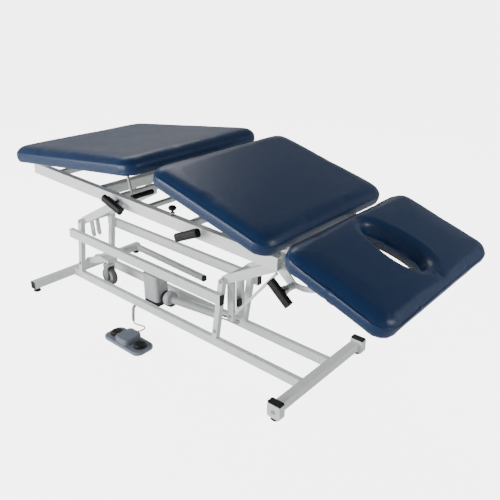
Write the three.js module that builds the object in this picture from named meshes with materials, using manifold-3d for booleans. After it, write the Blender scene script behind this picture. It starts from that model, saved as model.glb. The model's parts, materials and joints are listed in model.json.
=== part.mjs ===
// Three-section hi-lo treatment table. Millimetres, +Z up, +X towards the head end.
import * as THREE from 'three';
import Module from 'manifold-3d';

// ---- overall sizes ----
const GAP = 0.3;               // clearance between touching pieces
const RAIL_Y = 95;             // half spacing of the two long floor rails
const RAIL_W = 25;
const RAIL_H = 42;
const RAIL_Z = 15;             // underside of the rails
const FOOT_X = -990;           // foot crossbar centre
const FOOT_W = 36;
const FOOT_HALF = 342;         // half length of the foot crossbar
const HEAD_X = 546.6;          // head crossbar centre
const STUB_X = 554;
const STUB_Y = 284.3;
const STUB_L = 59.4;
const STUB_W = 30.9;
const STUB_TOP = 69;
const RAKE = 0.157;            // posts lean towards the foot end, x per z
const POST_X = 26;
const POST_Y = 25;
const FOOT_PIVOT = [-868, 351];
const HEAD_PIVOT = [116, 343];
const BAR_Z0 = 280;            // side bar centre height at the foot end
const BAR_Z1 = 271;            // and at the head end
const BAR_H = 46.7;
const BAR_X0 = -930;
const BAR_X1 = 134;

// ---- lift linkage ----
const ARM_DX = 378;
const ARM_DZ = 204.5;
const ARM_R = 19;              // half depth of a lift arm
const ARM_Y = 72;
const ARM_T = 20;
const LEVER_X = 124;
const LEVER_BOTTOM = 161;
const LEVER_FRONT_Y = -50;
const LEVER_REAR_Y = 6;
const ACT_Y = -22;

// ---- upper frame, drawn level and then pitched ----
const FRAME_C = [-236, 641.8];
const FRAME_PITCH = 1.793;     // degrees, head end down
const CH_Y = 244;              // outer face of each side channel
const CH_LIP = 28;
const CH_H = 50;
const CH_T = 3;
const CH_HALF = 747;
const TUBE = 25;

// ---- sections ----
const PAD_W = 762;
const PAD_T = 67;
const PAD_R = 80;              // plan corner radius
const PAD_E = 25;              // edge radius
const CENTRE = { x: 20, z: 874, pitch: 15.0, len: 578 };
const FOOT = { x: -943, z: 771.5, pitch: -6.5, len: 870 };
const HEAD = { x: 622, z: 739, pitch: 19.25, len: 408 };
const PAD_MID = HEAD.len / 2;
const SLOT_X = -9;             // face slot's middle, from the middle of the head pad
const SLOT_L = 232;
const SLOT_W = 104;
const DECK_T = 14;
const HEAD_DECK = [16, 366];   // where the head board starts and ends along its pad
const TILT_AXIS = [505, 636];
const RIDGE_AXIS = [-34, 786];
const HEAD_AXIS = [584, 645];
const PROP_TOP = [-314, 768];
const PROP_BOTTOM = [-279, 642];
const HEAD_LOCK = [556, 521];


// ---- caster ----
const SWING = [-905, 107];
const CASTER_X = -762;
const CASTER_Y = -30;
const WHEEL_R = 50;

// ---- pedal ----
const PEDAL = [-245, -322];
const CORD_R = 3.2;

const wasm = await Module();
wasm.setup();
const { Manifold, Mesh } = wasm;

const group = new THREE.Group();
group.name = 'exam_table';

const LOOKS = {
  frame: [0xe2e8e4, 0.45, 0.1],
  black: [0x17181a, 0.5, 0.0],
  navy: [0x0d2c4e, 0.4, 0.0],
  steel: [0xb9bcc0, 0.25, 0.9],
  zinc: [0x8f9296, 0.45, 0.7],
  motor: [0x9ea3a6, 0.5, 0.0],
  pedal: [0x6d7684, 0.55, 0.0],
  cord: [0xa9adb0, 0.6, 0.0],
  tyre: [0x55585c, 0.6, 0.0],
};

function add(name, geometry, look) {
  const [color, roughness, metalness] = LOOKS[look];
  const material = new THREE.MeshStandardMaterial({ color, roughness, metalness });
  const mesh = new THREE.Mesh(geometry, material);
  mesh.name = name;
  group.add(mesh);
}

// ---- manifold helpers: unions and cuts of simple solids ----
function toSolid(geometry) {
  const source = geometry.index ? geometry.toNonIndexed() : geometry;
  const mesh = new Mesh({
    numProp: 3,
    vertProperties: new Float32Array(source.attributes.position.array),
    triVerts: Uint32Array.from({ length: source.attributes.position.count }, (_, i) => i),
  });
  mesh.merge();
  return new Manifold(mesh);
}

function toGeometry(solid) {
  const mesh = solid.getMesh();
  const geometry = new THREE.BufferGeometry();
  geometry.setAttribute('position', new THREE.BufferAttribute(new Float32Array(mesh.vertProperties), 3));
  geometry.setIndex(Array.from(mesh.triVerts));
  geometry.computeVertexNormals();
  return geometry;
}

function union(...geometries) {
  return toGeometry(Manifold.union(geometries.map(toSolid)));
}

// ---- shape helpers ----
function roundedRect(w, h, r) {
  const s = new THREE.Shape();
  s.moveTo(-w / 2 + r, -h / 2);
  s.lineTo(w / 2 - r, -h / 2);
  s.absarc(w / 2 - r, -h / 2 + r, r, -Math.PI / 2, 0, false);
  s.lineTo(w / 2, h / 2 - r);
  s.absarc(w / 2 - r, h / 2 - r, r, 0, Math.PI / 2, false);
  s.lineTo(-w / 2 + r, h / 2);
  s.absarc(-w / 2 + r, h / 2 - r, r, Math.PI / 2, Math.PI, false);
  s.lineTo(-w / 2, -h / 2 + r);
  s.absarc(-w / 2 + r, -h / 2 + r, r, Math.PI, Math.PI * 1.5, false);
  return s;
}

// A bar of rounded rectangular section from a to b; the section's height follows "up".
function beam(a, b, w, h, r = 3, up = [0, 0, 1]) {
  const start = new THREE.Vector3(...a);
  const along = new THREE.Vector3(...b).sub(start);
  const length = along.length();
  const z = along.normalize();
  const x = new THREE.Vector3(...up).cross(z).normalize();
  const y = z.clone().cross(x);
  const options = { depth: length, bevelEnabled: false, curveSegments: 3 };
  const geometry = new THREE.ExtrudeGeometry(roundedRect(w, h, r), options);
  geometry.applyMatrix4(new THREE.Matrix4().makeBasis(x, y, z).setPosition(start));
  return geometry;
}

function rod(a, b, radius, segments = 24) {
  const start = new THREE.Vector3(...a);
  const end = new THREE.Vector3(...b);
  const length = start.distanceTo(end);
  const geometry = new THREE.CylinderGeometry(radius, radius, length, segments);
  const turn = new THREE.Quaternion().setFromUnitVectors(
    new THREE.Vector3(0, 1, 0), end.clone().sub(start).normalize());
  geometry.applyQuaternion(turn);
  geometry.translate(...start.add(end).multiplyScalar(0.5).toArray());
  return geometry;
}

// A flat plate drawn in the XZ plane and given thickness from y0 to y1.
function plate(shape, y0, y1, segments = 8) {
  const options = { depth: y1 - y0, bevelEnabled: false, curveSegments: segments };
  const geometry = new THREE.ExtrudeGeometry(shape, options);
  geometry.rotateX(Math.PI / 2);
  geometry.translate(0, y1, 0);
  return geometry;
}

function polygon(points) {
  return new THREE.Shape(points.map(([x, z]) => new THREE.Vector2(x, z)));
}

// A bar shape with round ends about two points.
function stadium(p, q, r) {
  const angle = Math.atan2(q[1] - p[1], q[0] - p[0]);
  const s = new THREE.Shape();
  s.absarc(p[0], p[1], r, angle + Math.PI / 2, angle + Math.PI * 1.5, false);
  s.absarc(q[0], q[1], r, angle - Math.PI / 2, angle + Math.PI / 2, false);
  s.closePath();
  return s;
}

function lathe(points, a, b, segments = 24) {
  const geometry = new THREE.LatheGeometry(points.map(([r, y]) => new THREE.Vector2(r, y)), segments);
  const start = new THREE.Vector3(...a);
  const dir = new THREE.Vector3(...b).sub(start).normalize();
  geometry.applyQuaternion(new THREE.Quaternion().setFromUnitVectors(new THREE.Vector3(0, 1, 0), dir));
  geometry.translate(...a);
  return geometry;
}

const deg = THREE.MathUtils.degToRad;
const sides = [['front', -1], ['rear', 1]];

// ---- floor base ----
const railTop = RAIL_Z + RAIL_H;
const railMid = RAIL_Z + RAIL_H / 2;
const railStart = FOOT_X + FOOT_W / 2 + GAP;
const railEnd = HEAD_X - 19 - GAP;
for (const [side, s] of sides) {
  const y = s * RAIL_Y;
  add(`${side}_rail`, beam([railStart, y, railMid], [railEnd, y, railMid], RAIL_W, RAIL_H), 'frame');
}
add('foot_crossbar', beam([FOOT_X, -FOOT_HALF, 38], [FOOT_X, FOOT_HALF, 38], FOOT_W, 40), 'frame');
const crossHalf = STUB_Y - STUB_W / 2 - GAP;
add('head_crossbar', beam([HEAD_X, -crossHalf, 37], [HEAD_X, crossHalf, 37], 38, 40), 'frame');

for (const [side, s] of sides) {
  const stub = roundedRect(STUB_L, STUB_TOP - 10, 9);
  const geometry = plate(stub, -STUB_W / 2, STUB_W / 2, 4);
  geometry.translate(STUB_X, s * STUB_Y, (STUB_TOP + 10) / 2);
  add(`${side}_head_stub`, geometry, 'frame');
  const capBase = STUB_TOP + GAP;
  const cap = beam([STUB_X, s * STUB_Y, capBase], [STUB_X, s * STUB_Y, capBase + 5],
    STUB_W, STUB_L, 5, [1, 0, 0]);
  add(`${side}_stub_cap`, cap, 'black');
  const headGlide = [[0, 0], [17, 0], [19, 3], [17, 9.7], [0, 9.7]];
  add(`${side}_head_glide`, lathe(headGlide, [STUB_X, s * STUB_Y, 0], [STUB_X, s * STUB_Y, 1]), 'black');
  const foot = [[0, 0], [17, 0], [19, 3], [17, 8], [6, 10], [6, 17.7], [0, 17.7]];
  const fy = s * (FOOT_HALF - 18);
  add(`${side}_foot_glide`, lathe(foot, [FOOT_X, fy, 0], [FOOT_X, fy, 1]), 'black');
}

// Raked posts with rounded tops round the pivot bolts.
function post(pivot) {
  const half = POST_X / 2;
  const base = railTop + GAP;
  const foot = pivot[0] - (pivot[1] - base) * RAKE;
  const lean = Math.atan(RAKE);
  const s = new THREE.Shape();
  s.moveTo(foot - half, base);
  s.lineTo(foot + half, base);
  s.absarc(pivot[0], pivot[1], half, -lean, Math.PI - lean, false);
  s.closePath();
  return s;
}
for (const [end, pivot] of [['foot', FOOT_PIVOT], ['head', HEAD_PIVOT]]) {
  for (const [side, s] of sides) {
    const y = s * RAIL_Y;
    add(`${side}_${end}_post`, plate(post(pivot), y - POST_Y / 2, y + POST_Y / 2), 'frame');
  }
}

const barY = RAIL_Y + POST_Y / 2 + GAP + 12.5;
for (const [side, s] of sides) {
  add(`${side}_side_bar`, beam([BAR_X0, s * barY, BAR_Z0], [BAR_X1, s * barY, BAR_Z1], 25, BAR_H), 'frame');
}

// Lock bar between the side bars, on a short arm from the front one.
const carrierY = barY - 12.5 - GAP;
const lockBar = union(
  beam([-553, -carrierY, 270], [-553, 13, 270], 25, 25),
  beam([-560, 0, 270], [-90, 0, 251], 24, 26, 5));
add('lock_bar', lockBar, 'frame');

// ---- lift arms ----
function upper(pivot) {
  return [pivot[0] + ARM_DX, pivot[1] + ARM_DZ];
}
const armInner = ARM_Y - ARM_T / 2;
for (const [end, pivot] of [['foot', FOOT_PIVOT], ['head', HEAD_PIVOT]]) {
  for (const [side, s] of sides) {
    const y = s * ARM_Y;
    const arm = plate(stadium(pivot, upper(pivot), ARM_R), y - ARM_T / 2, y + ARM_T / 2);
    add(`${side}_${end}_arm`, arm, 'frame');
  }
  const ty = armInner - GAP;
  add(`${end}_torque_tube`, rod([pivot[0], -ty, pivot[1]], [pivot[0], ty, pivot[1]], 16), 'frame');
}

// Twin crank levers hang from the head torque tube and are braced to the front arm.
const leverTop = HEAD_PIVOT[1] - 16 - 3;
for (const [side, y] of [['front', LEVER_FRONT_Y], ['rear', LEVER_REAR_Y]]) {
  const lever = beam([LEVER_X, y, LEVER_BOTTOM - 19], [LEVER_X, y, leverTop], 20, 34, 3, [1, 0, 0]);
  add(`${side}_lever`, lever, 'frame');
}
add('lever_brace', beam([LEVER_X + 25, -50, 183], [362, -50, 442], 9, 12, 2), 'frame');

// ---- linear actuator ----
const ACT_A = [-300, ACT_Y, 78];
const ACT_B = [28, ACT_Y, 112];
const actDir = new THREE.Vector3(...ACT_B).sub(new THREE.Vector3(...ACT_A)).normalize();
function along(distance) {
  return new THREE.Vector3(...ACT_A).addScaledVector(actDir, distance).toArray();
}
const motorBlock = union(
  beam([-384, -36, 42], [-384, -36, 196], 78, 100, 14, [1, 0, 0]),
  beam([-384, -36, 36], [-384, -36, 60], 70, 92, 14, [1, 0, 0]));
add('motor_housing', motorBlock, 'motor');
add('gear_housing', rod(along(-29), along(-12), 34, 32), 'black');
const tubeProfile = [[0, 0], [36, 0], [38, 5], [38, 26], [34, 32], [18, 36], [18, 318], [23, 320],
  [23, 334], [11.6, 334], [11.6, 96], [0, 96]];
add('actuator_tube', lathe(tubeProfile, along(-11.6), along(0), 32), 'motor');
const rodEnd = LEVER_X + 14;
const reach = (rodEnd - ACT_A[0]) / actDir.x;
add('actuator_rod', rod(along(176), along(reach), 11), 'steel');

// ---- upper frame ----
const pitch = deg(FRAME_PITCH);
function pitched(geometry) {
  geometry.rotateY(pitch);
  geometry.translate(FRAME_C[0], 0, FRAME_C[1]);
  return geometry;
}
function world(u, w) {
  return [
    FRAME_C[0] + u * Math.cos(pitch) + w * Math.sin(pitch),
    FRAME_C[1] - u * Math.sin(pitch) + w * Math.cos(pitch),
  ];
}
function local([x, z]) {
  const dx = x - FRAME_C[0];
  const dz = z - FRAME_C[1];
  return [dx * Math.cos(pitch) - dz * Math.sin(pitch), dx * Math.sin(pitch) + dz * Math.cos(pitch)];
}

// Side channel section: web outside, lips turned inwards.
function channelShape(s) {
  const o = s * CH_Y;
  const i = s * (CH_Y - CH_T);
  const l = s * (CH_Y - CH_LIP);
  return polygon([[o, 0], [o, -CH_H], [l, -CH_H], [l, -CH_H + CH_T], [i, -CH_H + CH_T],
    [i, -CH_T], [l, -CH_T], [l, 0]]);
}
for (const [side, s] of sides) {
  const options = { depth: 2 * CH_HALF, bevelEnabled: false };
  const geometry = new THREE.ExtrudeGeometry(channelShape(s), options);
  geometry.applyMatrix4(new THREE.Matrix4().makeBasis(
    new THREE.Vector3(0, 1, 0), new THREE.Vector3(0, 0, 1), new THREE.Vector3(1, 0, 0)));
  geometry.translate(-CH_HALF, 0, 0);
  add(`${side}_channel`, pitched(geometry), 'frame');
}
const crossInner = CH_Y - CH_T - GAP;
function crossTube(u, w, width, height) {
  return beam([u, -crossInner, w], [u, crossInner, w], width, height, 3);
}
const MEMBERS = [['foot_cross_tube', -570, -16, TUBE], ['stay_cross_tube', -118, -16, TUBE],
  ['centre_cross_tube', 12, -37.5, 18], ['crank_cross_tube', 305, -16, TUBE]];
for (const [name, u, w, height] of MEMBERS) {
  add(name, pitched(crossTube(u, w, TUBE, height)), 'frame');
}

// Hangers carry the tubes that the lift arms turn on.
function hanger(pivot, u) {
  const [pu, pw] = local(upper(pivot));
  const ears = [-1, 1].map((s) => {
    const ear = polygon([[u - 20, -38], [u + 20, -38], [pu + 19, pw], [pu + 8, pw - 17],
      [pu - 8, pw - 17], [pu - 19, pw]]);
    return plate(ear, s * 45 - 4, s * 45 + 4);
  });
  const ty = armInner - GAP;
  return pitched(union(
    crossTube(u, -25, 40, 43.4), ...ears, rod([pu, -ty, pw], [pu, ty, pw], 15)));
}
add('foot_hanger', hanger(FOOT_PIVOT, -250), 'frame');

// The head hanger also reaches out to the head section's hinge and its lock.
const [hu, hw] = local(upper(HEAD_PIVOT));
const [au, aw] = local(HEAD_AXIS);
const [lu, lw] = local(HEAD_LOCK);
const [tu, tw] = local(TILT_AXIS);
const headParts = [
  crossTube(712, -25, 40, 43.4),
  rod([hu, -armInner + GAP, hw], [hu, armInner - GAP, hw], 15),
];
for (const s of [-1, 1]) {
  const ear = polygon([[698, -30], [730, -38], [hu + 17, hw], [hu + 8, hw - 17],
    [hu - 8, hw - 17], [hu - 17, hw]]);
  headParts.push(plate(ear, s * 45 - 4, s * 45 + 4));
  const reachOut = polygon([[700, -42], [726, -44], [au + 10, aw - 8], [au + 8, aw + 9],
    [au - 8, aw + 10], [700, -6]]);
  headParts.push(plate(reachOut, s * 184 - 4, s * 184 + 4));
  const tiltEar = polygon([[tu - 16, -10], [tu + 16, -10], [tu + 9, tw + 9], [tu - 9, tw + 9]]);
  headParts.push(plate(tiltEar, s * 160 - 4, s * 160 + 4));
}
const lockEar = polygon([[700, -12], [726, -12], [lu + 16, lw + 6], [lu + 8, lw - 13],
  [lu - 10, lw - 13], [698, -44]]);
headParts.push(plate(lockEar, -213, -207), rod([lu, -252, lw], [lu, -210, lw], 13));
add('head_hanger', pitched(union(...headParts)), 'frame');

// ---- cushions: plain blocks with rounded plan corners and edges ----
function pad(section, width, hole) {
  const shape = roundedRect(section.len - 2 * PAD_E, width - 2 * PAD_E, PAD_R - PAD_E);
  if (hole) {
    shape.holes.push(hole);
  }
  const options = {
    depth: PAD_T - 2 * PAD_E, bevelEnabled: true, bevelSize: PAD_E, bevelThickness: PAD_E,
    bevelSegments: 3, curveSegments: 6,
  };
  const geometry = new THREE.ExtrudeGeometry(shape, options);
  geometry.translate(section.len / 2, 0, PAD_E - PAD_T);
  return placed(geometry, section);
}
function placed(geometry, section) {
  geometry.rotateY(deg(section.pitch));
  geometry.translate(section.x, 0, section.z);
  return geometry;
}

// Face slot: wide towards the head end, narrowing towards the table.
function faceSlot(middle, extra) {
  const path = new THREE.Path();
  const points = [];
  for (let i = 0; i < 32; i += 1) {
    const a = -(i + 0.5) / 32 * Math.PI * 2;
    const narrow = 1 + 0.22 * Math.cos(a);
    const length = SLOT_L / 2 + extra;
    const width = (SLOT_W / 2 + extra) * narrow * Math.abs(Math.sin(a)) ** -0.2;
    points.push(new THREE.Vector2(middle + length * Math.cos(a), width * Math.sin(a)));
  }
  path.setFromPoints(points);
  path.closePath();
  return path;
}
add('centre_cushion', pad(CENTRE, PAD_W), 'navy');
add('foot_cushion', pad(FOOT, PAD_W), 'navy');
add('head_cushion', pad(HEAD, PAD_W, faceSlot(SLOT_X, PAD_E)), 'navy');

// ---- decks: a board under each cushion, with hinge ears at its ends ----
const UNDER = -PAD_T - GAP;
function toSection([x, z], section) {
  const a = deg(section.pitch);
  const dx = x - section.x;
  const dz = z - section.z;
  return [dx * Math.cos(a) - dz * Math.sin(a), dx * Math.sin(a) + dz * Math.cos(a)];
}
function deck(section, width, x0, x1, ears, extra = [], hole = null) {
  const board = roundedRect(x1 - x0, width, 20);
  if (hole) {
    board.holes.push(hole);
  }
  const options = { depth: DECK_T, bevelEnabled: false, curveSegments: 3 };
  const boardGeometry = new THREE.ExtrudeGeometry(board, options);
  boardGeometry.translate((x0 + x1) / 2, 0, UNDER - DECK_T);
  const parts = [boardGeometry, ...extra];
  for (const [axis, offset] of ears) {
    const [ex, ez] = toSection(axis, section);
    const root = Math.min(Math.max(ex, x0 + 40), x1 - 40);
    const ear = polygon([[root - 30, UNDER - 6], [ex - 10, ez - 9], [ex + 10, ez - 9],
      [root + 30, UNDER - 6]]);
    for (const s of [-1, 1]) {
      parts.push(plate(ear, s * offset - 4, s * offset + 4));
    }
  }
  return placed(union(...parts), section);
}
const [rx, rz] = toSection(RIDGE_AXIS, CENTRE);
const ridgeRod = rod([rx, -185.7, rz], [rx, 185.7, rz], 7);
add('centre_deck', deck(CENTRE, 420, 20, 560, [[TILT_AXIS, 172], [RIDGE_AXIS, 172]], [ridgeRod]), 'black');
add('foot_deck', deck(FOOT, 400, 30, 852, [[RIDGE_AXIS, 190]]), 'black');
const deckSlot = faceSlot(SLOT_X + PAD_MID - (HEAD_DECK[0] + HEAD_DECK[1]) / 2, 8);
add('head_deck', deck(HEAD, 463, ...HEAD_DECK, [[HEAD_AXIS, 194]], [], deckSlot), 'black');

// Prop stay under the foot section, with its sliding foot.
const propDir = [PROP_BOTTOM[0] - PROP_TOP[0], PROP_BOTTOM[1] - PROP_TOP[1]];
const propAt = (t) => [PROP_TOP[0] + propDir[0] * t, -209.5, PROP_TOP[1] + propDir[1] * t];
add('prop_rod', rod(propAt(0.02), propAt(0.905), 6), 'steel');
const [slideX, slideZ] = PROP_BOTTOM;
add('prop_slider', rod([slideX, -215.5, slideZ], [slideX, -105, slideZ], 11), 'black');

// Quadrant plate of the head lock.
function quadrant() {
  const s = new THREE.Shape();
  const rIn = 118;
  const rOut = 138;
  const a0 = deg(-135);
  const a1 = deg(-52);
  s.absarc(HEAD_AXIS[0], HEAD_AXIS[1], rOut, a0, a1, false);
  s.lineTo(702, 619);
  s.lineTo(676, 628);
  s.absarc(HEAD_AXIS[0], HEAD_AXIS[1], rIn, a1, a0, true);
  s.closePath();
  return s;
}
add('head_quadrant', plate(quadrant(), -206, -200, 20), 'frame');

// ---- clamp handles: a bar grip across a round stem ----
function clampHandle(x, z, tilt, length, y0, y1) {
  const c = Math.cos(tilt) * length / 2;
  const k = Math.sin(tilt) * length / 2;
  const grip = beam([x - c, y0, z - k], [x + c, y0, z + k], 34, 26, 12, [0, 1, 0]);
  return union(grip, rod([x, y0, z], [x, y1, z], 11));
}
add('foot_clamp_handle', clampHandle(-323.5, 619, deg(-18), 112, -285, -CH_Y - 0.4), 'black');
add('centre_clamp_handle', clampHandle(121, 606, deg(24), 124, -285, -CH_Y - 0.4), 'black');
add('head_clamp_handle', clampHandle(...HEAD_LOCK, deg(-39), 104, -285, -252.4), 'black');
const [kx, kz] = world(221, GAP);
add('lock_knob', lathe([[0, 0], [5, 0], [5, 18], [15, 24], [17, 32], [12, 38], [0, 39]],
  [kx, -230, kz], [kx, -230, kz + 1]), 'black');

// ---- retractable caster on a swing arm ----
const swingEnd = [CASTER_X - 20, 150];
const swingArm = union(
  rod([SWING[0], -82, SWING[1]], [SWING[0], 82, SWING[1]], 9),
  plate(stadium(SWING, swingEnd, 16), CASTER_Y - 30, CASTER_Y - 22),
  plate(stadium(SWING, swingEnd, 16), CASTER_Y + 22, CASTER_Y + 30),
  beam([CASTER_X - 36, CASTER_Y, 150], [CASTER_X + 36, CASTER_Y, 150], 60, 18, 3));
add('caster_arm', swingArm, 'frame');
const forkParts = [
  beam([CASTER_X - 18, CASTER_Y, 118], [CASTER_X + 18, CASTER_Y, 118], 50, 12, 3),
  rod([CASTER_X, CASTER_Y, 120], [CASTER_X, CASTER_Y, 141 - GAP], 14),
];
for (const s of [-1, 1]) {
  const y = CASTER_Y + s * 21;
  const cheek = polygon([[CASTER_X - 18, 120], [CASTER_X - 13, 42], [CASTER_X + 13, 42],
    [CASTER_X + 18, 120]]);
  forkParts.push(plate(cheek, y - 3, y + 3));
}
add('caster_fork', union(...forkParts), 'zinc');
const wheel = [[0, -16], [18, -16], [20, -12], [42, -12], [WHEEL_R - 3, -14], [WHEEL_R, -8], [WHEEL_R, 8],
  [WHEEL_R - 3, 14], [42, 12], [20, 12], [18, 16], [0, 16]];
const axle = WHEEL_R + 1;
add('caster_wheel', lathe(wheel, [CASTER_X, CASTER_Y, axle], [CASTER_X, CASTER_Y + 1, axle], 40), 'tyre');

// ---- foot pedal ----
const base = roundedRect(232, 94, 26);
const baseGeometry = new THREE.ExtrudeGeometry(base, {
  depth: 8, bevelEnabled: true, bevelSize: 6, bevelThickness: 5, bevelSegments: 2, curveSegments: 5,
});
baseGeometry.translate(0, 0, 5);
const hump = new THREE.ExtrudeGeometry(roundedRect(70, 84, 14), {
  depth: 28, bevelEnabled: true, bevelSize: 5, bevelThickness: 6, bevelSegments: 2, curveSegments: 4,
});
hump.translate(0, 0, 12);
const pedalBase = union(baseGeometry, hump);
pedalBase.translate(PEDAL[0], PEDAL[1], 0);
add('pedal_base', pedalBase, 'pedal');
const button = [[0, 0], [25, 0], [25, 6], [22, 10], [12, 11], [0, 11]];
for (const [name, dx] of [['pedal_down_pad', -80], ['pedal_up_pad', 80]]) {
  const at = [PEDAL[0] + dx, PEDAL[1], 21.5];
  add(name, lathe(button, at, [at[0], at[1], at[2] + 1], 28), 'black');
}

// ---- pedal cord ----
const CORD_POINTS = [
  [-478, -95, 13.6], [-477.5, -96, 10.4], [-462, -120, 8.6], [-436, -142, 8.4], [-404, -168, 8.2],
  [-374, -191, 7.4], [-350, -203, 5], [-322, -199, 4.2], [-296, -193, 4.2], [-280, -203, 4.6],
  [-276, -224, 6], [-277, -248, 9], [-278, -268.3, 9],
];
const cordCurve = new THREE.CatmullRomCurve3(CORD_POINTS.map((p) => new THREE.Vector3(...p)));
const ring = new THREE.Shape();
ring.absarc(0, 0, CORD_R, 0, Math.PI * 2, false);
const cordOptions = { steps: 60, extrudePath: cordCurve, curveSegments: 8, bevelEnabled: false };
add('pedal_cord', new THREE.ExtrudeGeometry(ring, cordOptions), 'cord');

const box = new THREE.Box3().setFromObject(group);
const middle = box.getCenter(new THREE.Vector3());
group.children.forEach((m) => m.geometry.translate(-middle.x, -middle.y, -box.min.z));

export default group;
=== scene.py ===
import bpy
import bmesh
import json
import math
from mathutils import Matrix, Vector, kdtree, noise


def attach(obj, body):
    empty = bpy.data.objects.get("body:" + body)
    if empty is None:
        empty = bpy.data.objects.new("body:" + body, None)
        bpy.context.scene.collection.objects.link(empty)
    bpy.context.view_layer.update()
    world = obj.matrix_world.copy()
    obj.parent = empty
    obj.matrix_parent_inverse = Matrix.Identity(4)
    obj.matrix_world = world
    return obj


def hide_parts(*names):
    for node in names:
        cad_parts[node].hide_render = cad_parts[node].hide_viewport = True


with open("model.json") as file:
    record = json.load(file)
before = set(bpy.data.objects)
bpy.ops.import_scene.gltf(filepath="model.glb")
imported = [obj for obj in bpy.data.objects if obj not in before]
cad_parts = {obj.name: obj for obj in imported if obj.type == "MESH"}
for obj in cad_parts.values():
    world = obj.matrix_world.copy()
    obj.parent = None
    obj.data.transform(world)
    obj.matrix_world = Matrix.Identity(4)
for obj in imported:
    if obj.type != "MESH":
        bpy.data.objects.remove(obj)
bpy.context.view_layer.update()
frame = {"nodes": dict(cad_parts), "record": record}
nodes = frame["nodes"]
scene = bpy.context.scene

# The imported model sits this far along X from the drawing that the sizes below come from.
DRAWN_X = 0.0045

# ---------------------------------------------------------------- camera
camera_data = bpy.data.cameras.new("camera")
camera_data.lens = 41.705
camera_data.sensor_width = 36.0
camera_data.clip_end = 1000
camera = bpy.data.objects.new("camera", camera_data)
scene.collection.objects.link(camera)
look_right = Vector((0.7576, 0.6527, 0.0068)).normalized()
look_back = Vector((0.5938, -0.6935, 0.4081)).normalized()
look_up = look_back.cross(look_right)
turn = Matrix((look_right, look_up, look_back)).transposed()
camera.matrix_world = Matrix.Translation((1.5784, -1.6256, 1.4262)) @ turn.to_4x4()
scene.camera = camera


# ---------------------------------------------------------------- node groups
def new_group(name, inputs, outputs):
    group = bpy.data.node_groups.new(name, "ShaderNodeTree")
    for label, kind, value in inputs:
        socket = group.interface.new_socket(label, in_out="INPUT", socket_type=kind)
        if value is not None:
            socket.default_value = value
    for label, kind in outputs:
        group.interface.new_socket(label, in_out="OUTPUT", socket_type=kind)
    return group, group.nodes.new("NodeGroupInput"), group.nodes.new("NodeGroupOutput")


def node(tree, kind, **settings):
    made = tree.nodes.new(kind)
    for key, value in settings.items():
        setattr(made, key, value)
    return made


def maths(tree, operation, first, second):
    made = node(tree, "ShaderNodeMath", operation=operation)
    for index, value in enumerate((first, second)):
        if isinstance(value, (int, float)):
            made.inputs[index].default_value = value
        else:
            tree.links.new(value, made.inputs[index])
    return made.outputs[0]


def noise_of(tree, vector, scale, detail=2.0, rough=0.5):
    made = node(tree, "ShaderNodeTexNoise")
    made.inputs["Detail"].default_value = detail
    made.inputs["Roughness"].default_value = rough
    tree.links.new(vector, made.inputs["Vector"])
    if isinstance(scale, (int, float)):
        made.inputs["Scale"].default_value = scale
    else:
        tree.links.new(scale, made.inputs["Scale"])
    return made.outputs["Fac"]


def span(tree, value, low, high, to_low=0.0, to_high=1.0):
    made = node(tree, "ShaderNodeMapRange")
    for index, number in enumerate((low, high, to_low, to_high)):
        if isinstance(number, (int, float)):
            made.inputs[index + 1].default_value = number
        else:
            tree.links.new(number, made.inputs[index + 1])
    tree.links.new(value, made.inputs[0])
    return made.outputs[0]


def mix_colour(tree, factor, first, second):
    made = node(tree, "ShaderNodeMix", data_type="RGBA")
    tree.links.new(factor, made.inputs[0])
    for socket, value in ((made.inputs[6], first), (made.inputs[7], second)):
        if isinstance(value, (tuple, list)):
            socket.default_value = (*value, 1)
        else:
            tree.links.new(value, socket)
    return made.outputs[2]


def build_patina():
    """Slow and fast mottling of a colour, with a matching change of roughness."""
    tree, gin, gout = new_group(
        "patina",
        [("Colour", "NodeSocketColor", (0.8, 0.8, 0.8, 1)), ("Shade", "NodeSocketColor", (0.6, 0.6, 0.6, 1)),
         ("Scale", "NodeSocketFloat", 6.0), ("Amount", "NodeSocketFloat", 0.3),
         ("Rough low", "NodeSocketFloat", 0.35), ("Rough high", "NodeSocketFloat", 0.5)],
        [("Colour", "NodeSocketColor"), ("Roughness", "NodeSocketFloat")])
    place = node(tree, "ShaderNodeTexCoord").outputs["Object"]
    slow = noise_of(tree, place, gin.outputs["Scale"], 4.0, 0.6)
    quick = maths(tree, "MULTIPLY", gin.outputs["Scale"], 9.0)
    fine = noise_of(tree, place, quick, 3.0, 0.6)
    both = maths(tree, "ADD", maths(tree, "MULTIPLY", slow, 0.7), maths(tree, "MULTIPLY", fine, 0.3))
    mask = span(tree, both, 0.35, 0.65)
    factor = maths(tree, "MULTIPLY", mask, gin.outputs["Amount"])
    tree.links.new(mix_colour(tree, factor, gin.outputs["Colour"], gin.outputs["Shade"]), gout.inputs[0])
    rough = span(tree, both, 0.3, 0.7, gin.outputs["Rough low"], gin.outputs["Rough high"])
    tree.links.new(rough, gout.inputs[1])
    return tree


def build_edge_mask():
    """Where an edge sticks out, found from the surface's pointiness, broken up a little."""
    tree, gin, gout = new_group(
        "edge_mask", [("Start", "NodeSocketFloat", 0.52), ("End", "NodeSocketFloat", 0.6)],
        [("Mask", "NodeSocketFloat")])
    sharp = node(tree, "ShaderNodeNewGeometry").outputs["Pointiness"]
    place = node(tree, "ShaderNodeTexCoord").outputs["Object"]
    broken = span(tree, noise_of(tree, place, 60.0, 3.0), 0.3, 0.6, 0.2, 1.0)
    edge = span(tree, sharp, gin.outputs["Start"], gin.outputs["End"])
    tree.links.new(maths(tree, "MULTIPLY", edge, broken), gout.inputs[0])
    return tree


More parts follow.
